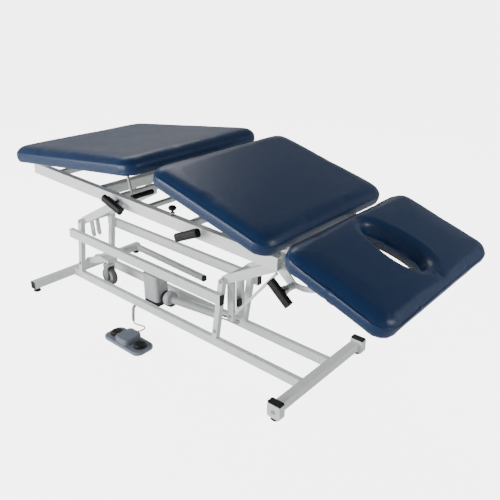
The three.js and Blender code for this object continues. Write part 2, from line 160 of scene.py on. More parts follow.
def build_fine_relief():
    """A height for a Bump node: grain of a given scale over a slower ripple."""
    tree, gin, gout = new_group(
        "fine_relief", [("Grain", "NodeSocketFloat", 700.0), ("Ripple", "NodeSocketFloat", 60.0),
                        ("Ripple share", "NodeSocketFloat", 0.3)], [("Height", "NodeSocketFloat")])
    place = node(tree, "ShaderNodeTexCoord").outputs["Object"]
    grain = noise_of(tree, place, gin.outputs["Grain"], 2.0)
    ripple = noise_of(tree, place, gin.outputs["Ripple"], 1.0)
    share = maths(tree, "MULTIPLY", ripple, gin.outputs["Ripple share"])
    tree.links.new(maths(tree, "ADD", grain, share), gout.inputs[0])
    return tree


def build_hide_grain():
    """Vinyl's pressed leather pattern: small cells between shallow creases."""
    tree, gin, gout = new_group(
        "hide_grain", [("Cells", "NodeSocketFloat", 420.0)], [("Height", "NodeSocketFloat")])
    place = node(tree, "ShaderNodeTexCoord").outputs["Object"]
    cells = node(tree, "ShaderNodeTexVoronoi", feature="DISTANCE_TO_EDGE")
    tree.links.new(place, cells.inputs["Vector"])
    tree.links.new(gin.outputs["Cells"], cells.inputs["Scale"])
    crease = span(tree, cells.outputs["Distance"], 0.0, 0.16)
    pores = noise_of(tree, place, maths(tree, "MULTIPLY", gin.outputs["Cells"], 2.5), 2.0)
    tree.links.new(maths(tree, "ADD", crease, maths(tree, "MULTIPLY", pores, 0.35)), gout.inputs[0])
    return tree


PATINA = build_patina()
EDGE_MASK = build_edge_mask()
RELIEF = build_fine_relief()
HIDE = build_hide_grain()


def place_group(tree, group, **values):
    made = node(tree, "ShaderNodeGroup", node_tree=group)
    for key, value in values.items():
        made.inputs[key.replace("_", " ")].default_value = (*value, 1) if isinstance(value, tuple) else value
    return made


def finish_material(name, colour, shade, rough=(0.35, 0.5), scale=6.0, amount=0.5, metallic=0.0,
                    bump=0.05, grain=700.0, ripple=60.0, share=0.3, edge=None, specular=0.5, hide=None,
                    bump_distance=0.0006):
    """A surface with mottled colour and roughness, relief, and a lighter or darker tone along its edges."""
    material = bpy.data.materials.new(name)
    material.use_nodes = True
    tree = material.node_tree
    shader = tree.nodes["Principled BSDF"]
    shader.inputs["Metallic"].default_value = metallic
    shader.inputs["Specular IOR Level"].default_value = specular
    patina = place_group(tree, PATINA, Colour=colour, Shade=shade, Scale=scale, Amount=amount,
                         Rough_low=rough[0], Rough_high=rough[1])
    tone = patina.outputs["Colour"]
    if edge:
        mask = place_group(tree, EDGE_MASK)
        tone = mix_colour(tree, mask.outputs["Mask"], tone, edge)
    tree.links.new(tone, shader.inputs["Base Color"])
    tree.links.new(patina.outputs["Roughness"], shader.inputs["Roughness"])
    relief = place_group(tree, HIDE, Cells=hide) if hide else place_group(
        tree, RELIEF, Grain=grain, Ripple=ripple, Ripple_share=share)
    bumped = node(tree, "ShaderNodeBump")
    bumped.inputs["Strength"].default_value = bump
    bumped.inputs["Distance"].default_value = bump_distance
    tree.links.new(relief.outputs["Height"], bumped.inputs["Height"])
    tree.links.new(bumped.outputs["Normal"], shader.inputs["Normal"])
    return material


powder_coat = finish_material(
    "powder_coat", (0.74, 0.79, 0.765), (0.66, 0.72, 0.69), (0.32, 0.46), 5.0,
    bump=0.16, grain=520.0, ripple=120.0, edge=(0.83, 0.87, 0.85))
channel_paint = finish_material(
    "channel_paint", (0.86, 0.875, 0.87), (0.8, 0.82, 0.81), (0.35, 0.5), 4.0,
    bump=0.12, grain=520.0, ripple=120.0, edge=(0.9, 0.91, 0.9))
vinyl = finish_material(
    "navy_vinyl", (0.0003, 0.021, 0.078), (0.0008, 0.026, 0.09), (0.3, 0.4), 3.0, 0.6,
    bump=0.2, hide=330.0, bump_distance=0.0004, specular=0.42)
black_plastic = finish_material(
    "black_moulding", (0.004, 0.004, 0.0045), (0.008, 0.008, 0.009), (0.42, 0.58), 12.0,
    bump=0.2, grain=900.0, edge=(0.016, 0.016, 0.017), specular=0.3)
black_rubber = finish_material(
    "black_rubber", (0.014, 0.014, 0.015), (0.03, 0.03, 0.03), (0.6, 0.8), 16.0,
    bump=0.3, grain=600.0)
deck_board = finish_material(
    "painted_board", (0.02, 0.02, 0.022), (0.035, 0.034, 0.033), (0.55, 0.7), 9.0,
    bump=0.3, grain=240.0, ripple=18.0, share=0.8, edge=(0.07, 0.06, 0.05))
motor_plastic = finish_material(
    "grey_moulding", (0.42, 0.44, 0.45), (0.36, 0.38, 0.39), (0.42, 0.55), 9.0,
    bump=0.15, grain=800.0, edge=(0.52, 0.53, 0.54))
hub_plastic = finish_material(
    "pale_moulding", (0.36, 0.37, 0.38), (0.3, 0.31, 0.32), (0.42, 0.55), 14.0,
    bump=0.15, grain=800.0)
pedal_plastic = finish_material(
    "blue_grey_moulding", (0.19, 0.22, 0.27), (0.15, 0.175, 0.22), (0.4, 0.55), 10.0,
    bump=0.2, grain=700.0, edge=(0.28, 0.31, 0.36))
cord_jacket = finish_material(
    "cord_jacket", (0.42, 0.44, 0.46), (0.34, 0.36, 0.38), (0.45, 0.6), 20.0,
    bump=0.2, grain=500.0)
bright_steel = finish_material(
    "bright_steel", (0.62, 0.63, 0.65), (0.52, 0.53, 0.55), (0.12, 0.24), 30.0,
    metallic=1.0, bump=0.04, grain=400.0)
zinc_plate = finish_material(
    "zinc_plate", (0.5, 0.51, 0.52), (0.38, 0.39, 0.4), (0.3, 0.45), 40.0, 0.6,
    metallic=1.0, bump=0.08, grain=300.0, edge=(0.66, 0.67, 0.68))
tyre_rubber = finish_material(
    "grey_tyre", (0.09, 0.095, 0.1), (0.13, 0.135, 0.14), (0.55, 0.75), 25.0,
    bump=0.25, grain=500.0, edge=(0.18, 0.18, 0.185))
floor_paint = finish_material(
    "pale_floor", (0.9, 0.9, 0.9), (0.88, 0.88, 0.885), (0.6, 0.7), 0.6, 0.4, bump=0.02)

SEAM_HEIGHT = 0.0135
STITCHES_PER_METRE = 160.0
MOTOR_COVER_TOP = 0.062


def add_seam(material):
    """A stitched seam low on the pad's side: a groove with short stitches, from the pad's own map."""
    tree = material.node_tree
    shader = tree.nodes["Principled BSDF"]
    place = node(tree, "ShaderNodeUVMap", uv_map="seam")
    parts = node(tree, "ShaderNodeSeparateXYZ")
    tree.links.new(place.outputs["UV"], parts.inputs["Vector"])
    off = maths(tree, "ABSOLUTE", maths(tree, "SUBTRACT", parts.outputs["Y"], SEAM_HEIGHT), 0.0)
    groove = span(tree, off, 0.0, 0.0016)
    beat = maths(tree, "FRACT", maths(tree, "MULTIPLY", parts.outputs["X"], STITCHES_PER_METRE), 0.0)
    dash = span(tree, maths(tree, "ABSOLUTE", maths(tree, "SUBTRACT", beat, 0.5), 0.0), 0.26, 0.36, 1.0, 0.0)
    beside = maths(tree, "ABSOLUTE", maths(tree, "SUBTRACT", off, 0.0035), 0.0)
    thread = maths(tree, "MULTIPLY", span(tree, beside, 0.0002, 0.0009, 1.0, 0.0), dash)
    height = maths(tree, "ADD", groove, maths(tree, "MULTIPLY", thread, 0.35))
    seam = node(tree, "ShaderNodeBump")
    seam.inputs["Strength"].default_value = 0.7
    seam.inputs["Distance"].default_value = 0.0012
    grain = shader.inputs["Normal"].links[0].from_socket
    tree.links.new(height, seam.inputs["Height"])
    tree.links.new(grain, seam.inputs["Normal"])
    tree.links.new(seam.outputs["Normal"], shader.inputs["Normal"])


def add_dark_foot(material, height, colour):
    """Below a given height the moulding is a separate dark cover."""
    tree = material.node_tree
    shader = tree.nodes["Principled BSDF"]
    parts = node(tree, "ShaderNodeSeparateXYZ")
    tree.links.new(node(tree, "ShaderNodeTexCoord").outputs["Object"], parts.inputs["Vector"])
    above = span(tree, parts.outputs["Z"], height - 0.0008, height + 0.0008)
    tone = shader.inputs["Base Color"].links[0].from_socket
    tree.links.new(mix_colour(tree, above, colour, tone), shader.inputs["Base Color"])


add_seam(vinyl)
add_dark_foot(motor_plastic, MOTOR_COVER_TOP, (0.02, 0.02, 0.022))

SLOT_FINISH = {
    "frame_paint": powder_coat, "vinyl": vinyl, "black_plastic": black_plastic, "board": deck_board,
    "motor_plastic": motor_plastic, "pedal_plastic": pedal_plastic, "cord": cord_jacket,
    "bright_steel": bright_steel, "zinc": zinc_plate, "tyre": tyre_rubber,
}
for part in frame["record"]["subparts"]:
    made = nodes[part["node"]]
    finish = SLOT_FINISH[part["material_slot"]]
    if part["node"].endswith("_channel"):
        finish = channel_paint
    made.data.materials.clear()
    made.data.materials.append(finish)


# ---------------------------------------------------------------- making pieces
def link_mesh(name, mesh_data, finish, body):
    made = bpy.data.objects.new(name, mesh_data)
    scene.collection.objects.link(made)
    mesh_data.materials.clear()
    mesh_data.materials.append(finish)
    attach(made, body)
    return made


def from_bmesh(name, bm, smooth=True):
    data = bpy.data.meshes.new(name)
    bm.to_mesh(data)
    bm.free()
    if smooth:
        data.shade_smooth()
    return data


def baked(made):
    """The evaluated mesh of an object with modifiers, as plain mesh data."""
    bpy.context.view_layer.update()
    graph = bpy.context.evaluated_depsgraph_get()
    return bpy.data.meshes.new_from_object(made.evaluated_get(graph))


def tube_along(points, radius, sides=12):
    """A closed round tube along points, with flat ends."""
    bm = bmesh.new()
    rings = []
    side = None
    for index, point in enumerate(points):
        before = points[max(index - 1, 0)]
        after = points[min(index + 1, len(points) - 1)]
        tangent = (after - before).normalized()
        if side is None:
            side = tangent.orthogonal().normalized()
        side = (side - tangent * side.dot(tangent)).normalized()
        other = tangent.cross(side)
        size = radius[index] if isinstance(radius, list) else radius
        rings.append([
            bm.verts.new(point + (side * math.cos(a) + other * math.sin(a)) * size)
            for a in (2 * math.pi * k / sides for k in range(sides))])
    for low, high in zip(rings, rings[1:]):
        for k in range(sides):
            bm.faces.new((low[k], low[(k + 1) % sides], high[(k + 1) % sides], high[k]))
    bm.faces.new(list(reversed(rings[0])))
    bm.faces.new(rings[-1])
    bmesh.ops.recalc_face_normals(bm, faces=bm.faces)
    return bm


def catmull(points, steps):
    """A smooth centripetal curve through the points."""
    padded = [points[0] * 2 - points[1], *points, points[-1] * 2 - points[-2]]
    out = []
    for i in range(1, len(padded) - 2):
        p0, p1, p2, p3 = padded[i - 1:i + 3]
        t1 = (p1 - p0).length ** 0.5
        t2 = t1 + (p2 - p1).length ** 0.5
        t3 = t2 + (p3 - p2).length ** 0.5
        for k in range(steps):
            t = t1 + (t2 - t1) * k / steps
            a1 = p0 * ((t1 - t) / t1) + p1 * (t / t1)
            a2 = p1 * ((t2 - t) / (t2 - t1)) + p2 * ((t - t1) / (t2 - t1))
            a3 = p2 * ((t3 - t) / (t3 - t2)) + p3 * ((t - t2) / (t3 - t2))
            b1 = a1 * ((t2 - t) / t2) + a2 * (t / t2)
            b2 = a2 * ((t3 - t) / (t3 - t1)) + a3 * ((t - t1) / (t3 - t1))
            out.append(b1 * ((t2 - t) / (t2 - t1)) + b2 * ((t - t1) / (t2 - t1)))
    return [*out, points[-1]]


# ---------------------------------------------------------------- pedal cord
CORD_POINTS = [
    (-478, -95, 13.6), (-477.5, -96, 10.4), (-462, -120, 8.6), (-436, -142, 8.4), (-404, -168, 8.2),
    (-374, -191, 7.4), (-350, -203, 5), (-322, -199, 4.2), (-296, -193, 4.2), (-280, -203, 4.6),
    (-276, -224, 6), (-277, -248, 9), (-278, -268.3, 9),
]
cord_line = catmull([Vector((x / 1000 + DRAWN_X, y / 1000, z / 1000)) for x, y, z in CORD_POINTS], 8)
pedal_cord = link_mesh("pedal_lead", from_bmesh("pedal_lead", tube_along(cord_line, 0.0032)), cord_jacket,
                       "base")
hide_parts("pedal_cord")

# The thick corrugated sleeve covers the part of the lead nearest the rail.
sleeve_line = cord_line[9:42]
sleeve_size = [0.0072 - 0.0012 * (k / 32) ** 2 + (0.0005 if k % 2 else 0) for k in range(33)]
cord_sleeve = link_mesh("lead_sleeve", from_bmesh("lead_sleeve", tube_along(sleeve_line, sleeve_size, 14)),
                        cord_jacket, "base")
gland_size = [0.0038 + 0.00022 * k for k in range(12)]
pedal_gland = link_mesh("lead_gland", from_bmesh("lead_gland", tube_along(cord_line[-12:], gland_size)),
                        black_rubber, "base")

# ---------------------------------------------------------------- cushions
PAD_WIDTH = 0.762
PAD_THICK = 0.067
PAD_CORNER = 0.066
# Each section's place in the drawing, pitch in degrees and length.
SECTIONS = {
    "centre": (0.020, 0.874, 15.0, 0.578),
    "foot": (-0.943, 0.7715, -6.5, 0.870),
    "head": (0.622, 0.739, 19.25, 0.408),
}


def section_matrix(which):
    x, z, pitch, _ = SECTIONS[which]
    return Matrix.Translation((x + DRAWN_X, 0, z)) @ Matrix.Rotation(math.radians(pitch), 4, "Y")


VOXEL = {"centre": 0.009, "foot": 0.009, "head": 0.0045}
# How far the cover may swell, and how often it is eased afterwards.
SWELL = {"centre": (0.007, 2), "foot": (0.007, 2), "head": (0.0045, 4)}


def pad_outline(length, width, radius, inset, steps=10):
    """Rounded rectangle from 0 to length, drawn in by inset."""
    corner = max(radius - inset, 0.004)
    x0, x1 = inset + corner, length - inset - corner
    y1 = width / 2 - inset - corner
    points = []
    for cx, cy, start in ((x1, y1, 0), (x0, y1, 90), (x0, -y1, 180), (x1, -y1, 270)):
        for k in range(steps + 1):
            a = math.radians(start + 90 * k / steps)
            points.append((cx + corner * math.cos(a), cy + corner * math.sin(a)))
    return points


def pad_blank(length, shrink, top_edge=0.034, low_edge=0.012):
    """The foam's shape before it swells: soft top edge, tighter lower edge, flat underside."""
    thick = PAD_THICK - 2 * shrink
    profile = []
    for k in range(9):
        a = math.radians(90 * k / 8)
        profile.append((low_edge * (1 - math.sin(a)), -thick + low_edge * (1 - math.cos(a))))
    for k in range(11):
        a = math.radians(90 * k / 10)
        profile.append((top_edge * (1 - math.cos(a)), -top_edge * (1 - math.sin(a))))
    bm = bmesh.new()
    rings = []
    for inset, z in profile:
        outline = pad_outline(length, PAD_WIDTH, PAD_CORNER, inset + shrink)
        rings.append([bm.verts.new((x, y, z - shrink)) for x, y in outline])
    for low, high in zip(rings, rings[1:]):
        count = len(low)
        for k in range(count):
            bm.faces.new((low[k], low[(k + 1) % count], high[(k + 1) % count], high[k]))
    bm.faces.new(list(reversed(rings[0])))
    bm.faces.new(rings[-1])
    bmesh.ops.recalc_face_normals(bm, faces=bm.faces)
    return bm


SLOT_AT = 0.195
SLOT_LENGTH = 0.232
SLOT_WIDTH = 0.104


def slot_outline(extra, count=48):
    points = []
    for k in range(count):
        a = 2 * math.pi * (k + 0.5) / count
        wide = (1 + 0.22 * math.cos(a)) * abs(math.sin(a)) ** -0.2
        points.append((SLOT_AT + (SLOT_LENGTH / 2 + extra) * math.cos(a),
                       (SLOT_WIDTH / 2 + extra) * math.sin(a) * wide))
    return points


def slot_cutter():
    bm = bmesh.new()
    outline = slot_outline(0.0)
    low = [bm.verts.new((x, y, -0.12)) for x, y in outline]
    high = [bm.verts.new((x, y, 0.05)) for x, y in outline]
    count = len(low)
    for k in range(count):
        bm.faces.new((low[k], low[(k + 1) % count], high[(k + 1) % count], high[k]))
    bm.faces.new(list(reversed(low)))
    bm.faces.new(high)
    bmesh.ops.recalc_face_normals(bm, faces=bm.faces)
    return bm


def apply_modifiers(made):
    fresh = baked(made)
    made.modifiers.clear()
    old = made.data
    made.data = fresh
    bpy.data.meshes.remove(old)


def slot_tree():
    """The slot's outline, ready for nearest-distance questions."""
    outline = slot_outline(0.0, 240)
    tree = kdtree.KDTree(len(outline))
    for index, (x, y) in enumerate(outline):
        tree.insert((x, y, 0), index)
    tree.balance()
    return tree


def near_slot(vertex, tree, reach):
    """Distance from a point to the slot's outline, or the reach itself when it's farther off."""
    x, y, _ = vertex.co
    if abs(x - SLOT_AT) > SLOT_LENGTH / 2 + reach or abs(y) > SLOT_WIDTH / 2 * 1.5 + reach:
        return reach
    return min(reach, tree.find((x, y, 0))[2])


def make_pad(which):
    length = SECTIONS[which][3]
    made = bpy.data.objects.new(f"{which}_pad", from_bmesh(f"{which}_pad", pad_blank(length, 0.0015)))
    scene.collection.objects.link(made)
    if which == "head":
        knife = bpy.data.objects.new("slot_knife", from_bmesh("slot_knife", slot_cutter()))
        scene.collection.objects.link(knife)
        cut = made.modifiers.new("cut", "BOOLEAN")
        cut.object = knife
        cut.operation = "DIFFERENCE"
        cut.solver = "EXACT"
        apply_modifiers(made)
        bpy.data.objects.remove(knife)
    remesh = made.modifiers.new("remesh", "REMESH")
    remesh.mode = "VOXEL"
    remesh.voxel_size = VOXEL[which]
    apply_modifiers(made)
    if which == "head":
        fillet_slot(made)
    swell(made, *SWELL[which])
    rest_flat(made, length)
    smooth = made.modifiers.new("smooth", "SUBSURF")
    smooth.levels = 1
    smooth.render_levels = 1
    apply_modifiers(made)
    map_seam(made.data, length)
    made.data.transform(section_matrix(which))
    made.data.shade_smooth()
    made.data.materials.clear()
    made.data.materials.append(vinyl)
    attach(made, f"{which}_section")
    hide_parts(f"{which}_cushion")


def map_seam(data, length):
    """U runs round the pad's edge in metres, V is the height above its underside."""
    seam = data.uv_layers.new(name="seam")
    centre = Vector((length / 2, 0))
    for loop in data.loops:
        x, y, z = data.vertices[loop.vertex_index].co
        way = (x - centre.x) if abs(y) > PAD_WIDTH / 2 - 0.04 else y
        seam.data[loop.index].uv = (way, z + PAD_THICK)


def smooth_near_slot(made, tree, rounds):
    """Evens out the rim of the slot, which the cut leaves stepped."""
    bm = bmesh.new()
    bm.from_mesh(made.data)
    near = [v for v in bm.verts if v.co.z > -PAD_THICK + 0.006 and near_slot(v, tree, 0.05) < 0.05]
    for _ in range(rounds):
        bmesh.ops.smooth_vert(bm, verts=near, factor=0.5, use_axis_x=True, use_axis_y=True, use_axis_z=True)
    bm.to_mesh(made.data)
    bm.free()


def fillet_slot(made):
    """Rounds the slot's upper rim into the wide soft lip of a face opening."""
    tree = slot_tree()
    reach = 0.046
    for vertex in made.data.vertices:
        if vertex.co.z < -0.042:
            continue
        away = near_slot(vertex, tree, reach)
        if away < reach:
            drop = reach - math.sqrt(reach * reach - (reach - away) ** 2)
            vertex.co.z -= min(drop, 0.04) * min(1.0, (vertex.co.z + 0.042) / 0.03)
    smooth_near_slot(made, tree, 8)
    made.data.update()


def swell(made, cap, rounds):
    """Blows the pad up a little with cloth pressure, keeps every point within the cap, and eases it."""
    start = [v.co.copy() for v in made.data.vertices]
    cloth = made.modifiers.new("cloth", "CLOTH")
    settings = cloth.settings
    settings.quality = 4
    settings.mass = 0.5
    settings.tension_stiffness = 18
    settings.compression_stiffness = 18
    settings.shear_stiffness = 8
    settings.bending_stiffness = 4
    settings.use_pressure = True
    settings.uniform_pressure_force = 4
    settings.effector_weights.gravity = 0
    cloth.collision_settings.use_collision = False
    cloth.point_cache.frame_start = 1
    cloth.point_cache.frame_end = 20
    for number in range(1, 21):
        scene.frame_set(number)
    fresh = baked(made)
    made.modifiers.clear()
    moved = [v.co.copy() for v in fresh.vertices]
    bpy.data.meshes.remove(fresh)
    scene.frame_set(1)
    for vertex, old, new in zip(made.data.vertices, start, moved):
        shift = new - old
        if shift.length > cap:
            shift = shift * (cap / shift.length)
        vertex.co = old + shift
    ease(made, rounds)


def ease(made, rounds):
    """Lets the cover's small creases settle out."""
    bm = bmesh.new()
    bm.from_mesh(made.data)
    for _ in range(rounds):
        bmesh.ops.smooth_vert(
            bm, verts=bm.verts, factor=0.5, use_axis_x=True, use_axis_y=True, use_axis_z=True)
    bm.to_mesh(made.data)
    bm.free()


def rest_flat(made, length):
    """The underside is flat on its deck, and the top keeps a shallow crown with faint foam hollows."""
    for vertex in made.data.vertices:
        x, y, z = vertex.co
        if z < -PAD_THICK + 0.006:
            vertex.co.z = -PAD_THICK + 0.0003
        elif z > -0.02:
            u = min(max(x / length, 0), 1) * 2 - 1
            v = min(max(y / PAD_WIDTH * 2, -1), 1)
            inwards = max(min(x, length - x, PAD_WIDTH / 2 - abs(y)), 0.0)
            fall = 0.007 * max(0.0, 1 - inwards / 0.13) ** 2
            crown = 0.004 * (1 - u ** 4) * (1 - v ** 4) - fall
            ripple = noise.noise(Vector((x * 5.0, y * 5.0, length * 7))) * 0.0012
            vertex.co.z = min(z + crown + ripple, 0.006)
    made.data.update()


for section in SECTIONS:
    make_pad(section)

# ---------------------------------------------------------------- fittings
def spot(x, y, z):
    """A point of the drawing, in millimetres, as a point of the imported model."""
    return Vector((x / 1000 + DRAWN_X, y / 1000, z / 1000))


def loft(bm, rings):
    """Adds a closed solid through rings of points of equal count."""
    made = [[bm.verts.new(point) for point in ring] for ring in rings]
    count = len(made[0])
    faces = []
    for low, high in zip(made, made[1:]):
        for k in range(count):
            faces.append(bm.faces.new((low[k], low[(k + 1) % count], high[(k + 1) % count], high[k])))
    faces.append(bm.faces.new(list(reversed(made[0]))))
    faces.append(bm.faces.new(made[-1]))
    bmesh.ops.recalc_face_normals(bm, faces=faces)


def plug(bm, place, out, up, width, height, depth=3.5, corner=4.0):
    """A moulded cap over a tube's end: its rim is bevelled and its face is slightly dished."""
    out = Vector(out).normalized()
    side = Vector(up).cross(out).normalized()
    lift = out.cross(side)
    rings = []
    profile = ((0.4, 0.0), (0.0, 0.4), (0.0, depth - 1.0), (1.0, depth), (3.4, depth), (4.6, depth - 0.8))
    for inset, rise in profile:
        outline = []
        for cx, cy, start in ((1, 1, 0), (-1, 1, 90), (-1, -1, 180), (1, -1, 270)):
            for k in range(5):
                a = math.radians(start + 22.5 * k)
                radius = max(corner - inset, 0.6)
                u = cx * (width / 2 - inset - radius) + radius * math.cos(a)
                v = cy * (height / 2 - inset - radius) + radius * math.sin(a)
                outline.append(place + (side * u + lift * v + out * rise) / 1000)
        rings.append(outline)
    loft(bm, rings)


def turned(bm, place, axis, profile, sides=28):
    """Adds a ring turned about an axis, from a profile of (radius, rise) points that closes on itself."""
    axis = Vector(axis).normalized()
    side = axis.orthogonal().normalized()
    other = axis.cross(side)
    spokes = []
    for k in range(sides):
        a = 2 * math.pi * k / sides
        spokes.append(side * math.cos(a) + other * math.sin(a))
    rows = []
    for radius, rise in profile:
        rows.append([bm.verts.new(place + (spoke * radius + axis * rise) / 1000) for spoke in spokes])
    faces = []
    for low, high in zip(rows, [*rows[1:], rows[0]]):
        for k in range(sides):
            faces.append(bm.faces.new((low[k], low[(k + 1) % sides], high[(k + 1) % sides], high[k])))
    bmesh.ops.recalc_face_normals(bm, faces=faces)


def strap(bm, start, end, radius, y0, y1):
    """Adds a flat bar with round ends, standing in the XZ plane, with a small bevel all round."""
    angle = math.atan2(end[1] - start[1], end[0] - start[0])
    rings = []
    for inset, y in ((0.8, y0), (0.0, y0 + 0.8), (0.0, y1 - 0.8), (0.8, y1)):
        outline = []
        for centre, first in ((start, 90), (end, -90)):
            for k in range(13):
                a = angle + math.radians(first + 15 * k)
                outline.append(spot(centre[0] + (radius - inset) * math.cos(a), y,
                                    centre[1] + (radius - inset) * math.sin(a)))
        rings.append(outline)
    loft(bm, rings)


def fitting(name, bm, finish, body, smooth=False):
    made = link_mesh(name, from_bmesh(name, bm, False), finish, body)
    if smooth:
        made.data.shade_smooth()
        made.data.set_sharp_from_angle(angle=math.radians(35))
    return made


# Pivots and other places of the drawing, as X and Z in millimetres.
FOOT_PIVOT = (-868, 351)
HEAD_PIVOT = (116, 343)
FOOT_ARM_END = (-490, 555.5)
HEAD_ARM_END = (494, 547.5)
LEVER_EYE = (124, 161)
TILT_AXIS = (505, 636)
RIDGE_AXIS = (-34, 786)
HEAD_AXIS = (584, 645)
CASTER = (-762, 51)
BAR_Y = 120.3
CASTER_Y = -30
MOTOR_Y = -36

caps = bmesh.new()
for s in (-1, 1):
    plug(caps, spot(-990, s * 342.1, 38), (0, s, 0), (0, 0, 1), 36, 40)
    plug(caps, spot(134.1, s * BAR_Y, 271), (1, 0, -0.0085), (0, 0, 1), 25, 46.7)
    plug(caps, spot(-930.1, s * BAR_Y, 280), (-1, 0, 0.0085), (0, 0, 1), 25, 46.7, 2.0)
plug(caps, spot(-89.9, 0, 251), (1, 0, -0.04), (0, 0, 1), 24, 26, 9, 5)
fitting("tube_end_caps", caps, black_plastic, "base", True)

bushes = bmesh.new()
plug(bushes, spot(138.2, -22, 222), (1, 0, 0), (0, 0, 1), 26, 34, 10)
plug(bushes, spot(107.8, -22, 222), (-1, 0, 0), (0, 0, 1), 26, 34, 4)
fitting("lever_bushes", bushes, black_plastic, "head_arms", True)

hung = bmesh.new()
for y in (-40, -6):
    strap(hung, FOOT_PIVOT, (-858, 268), 17, y, y + 6)
fitting("foot_crank_plates", hung, powder_coat, "foot_arms", True)

gland = bmesh.new()
GLAND = ((4, -1), (11, -1), (11, 5), (9, 7), (9, 13), (7.5, 16), (4, 16))
turned(gland, spot(-434, MOTOR_Y, 84), (-1, 0, 0), GLAND)
fitting("supply_gland", gland, black_plastic, "base", True)

# Collars on the clamp stems, and the flat bar behind the foot clamp's grip.
CLAMPS = {"foot_clamp": (-323.5, -245.4, 619), "centre_clamp": (121, -245.4, 606),
          "head_clamp": (556, -253.2, 521)}
COLLAR = ((11.2, 0), (15, 0), (15.6, 0.8), (15.6, 8), (14, 10), (12.5, 17), (11.2, 17))
for body, place in CLAMPS.items():
    collar = bmesh.new()
    turned(collar, spot(*place), (0, -1, 0), COLLAR)
    fitting(f"{body}_collar", collar, zinc_plate, body, True)

GRIP_LEAN = math.radians(-18)
backing = bmesh.new()
grip_x, _, grip_z = CLAMPS["foot_clamp"]
reach = Vector((math.cos(GRIP_LEAN), math.sin(GRIP_LEAN))) * 46
strap(backing, (grip_x - reach.x, grip_z - reach.y), (grip_x + reach.x, grip_z + reach.y), 9, -267, -263.6)
fitting("foot_clamp_backing", backing, zinc_plate, "foot_clamp", True)

knob_nut = bmesh.new()
NUT = ((5.2, 0), (9.5, 0), (9.5, 5), (8.5, 6.5), (5.2, 6.5))
turned(knob_nut, spot(-15.1, -230, 641.2), (0, 0, 1), NUT, 6)
fitting("knob_nut", knob_nut, zinc_plate, "upper_frame")

hub = bmesh.new()
HUB = ((21, 0.1), (40, 0.1), (38.5, 1.6), (30, 1.0), (22.5, 1.6))
for s in (-1, 1):
    turned(hub, spot(CASTER[0], CASTER_Y + s * 12, CASTER[1]), (0, s, 0), HUB, 40)
fitting("caster_hub", hub, hub_plastic, "wheel", True)

pedal_rims = bmesh.new()
RIM = ((25.6, -3.6), (29, -3.6), (29, -2.2), (27.5, -0.8), (25.6, -0.8))
for dx in (-80, 80):
    turned(pedal_rims, spot(-245 + dx, -322, 21.4), (0, 0, 1), RIM, 40)
fitting("pedal_rims", pedal_rims, black_rubber, "base", True)


# ---------------------------------------------------------------- repeated small parts
def geometry_tree(name, inputs):
    tree = bpy.data.node_groups.new(name, "GeometryNodeTree")
    tree.is_modifier = True
    tree.interface.new_socket("Geometry", in_out="INPUT", socket_type="NodeSocketGeometry")
    for label, kind, value in inputs:
        socket = tree.interface.new_socket(label, in_out="INPUT", socket_type=kind)
        if value is not None:
            socket.default_value = value
    tree.interface.new_socket("Geometry", in_out="OUTPUT", socket_type="NodeSocketGeometry")
    return tree, tree.nodes.new("NodeGroupInput"), tree.nodes.new("NodeGroupOutput")


def finish_tree(tree, gin, gout, instances):
    solid = node(tree, "GeometryNodeRealizeInstances")
    tree.links.new(instances.outputs["Instances"], solid.inputs["Geometry"])
    painted = node(tree, "GeometryNodeSetMaterial")
    tree.links.new(solid.outputs["Geometry"], painted.inputs["Geometry"])
    tree.links.new(gin.outputs["Finish"], painted.inputs["Material"])
    tree.links.new(painted.outputs["Geometry"], gout.inputs["Geometry"])


def cone_of(tree, sides, low, high, depth):
    made = node(tree, "GeometryNodeMeshCone")
    made.inputs["Vertices"].default_value = sides
    tree.links.new(low, made.inputs["Radius Bottom"])
    tree.links.new(high, made.inputs["Radius Top"])
    tree.links.new(depth, made.inputs["Depth"])
    return made.outputs["Mesh"]


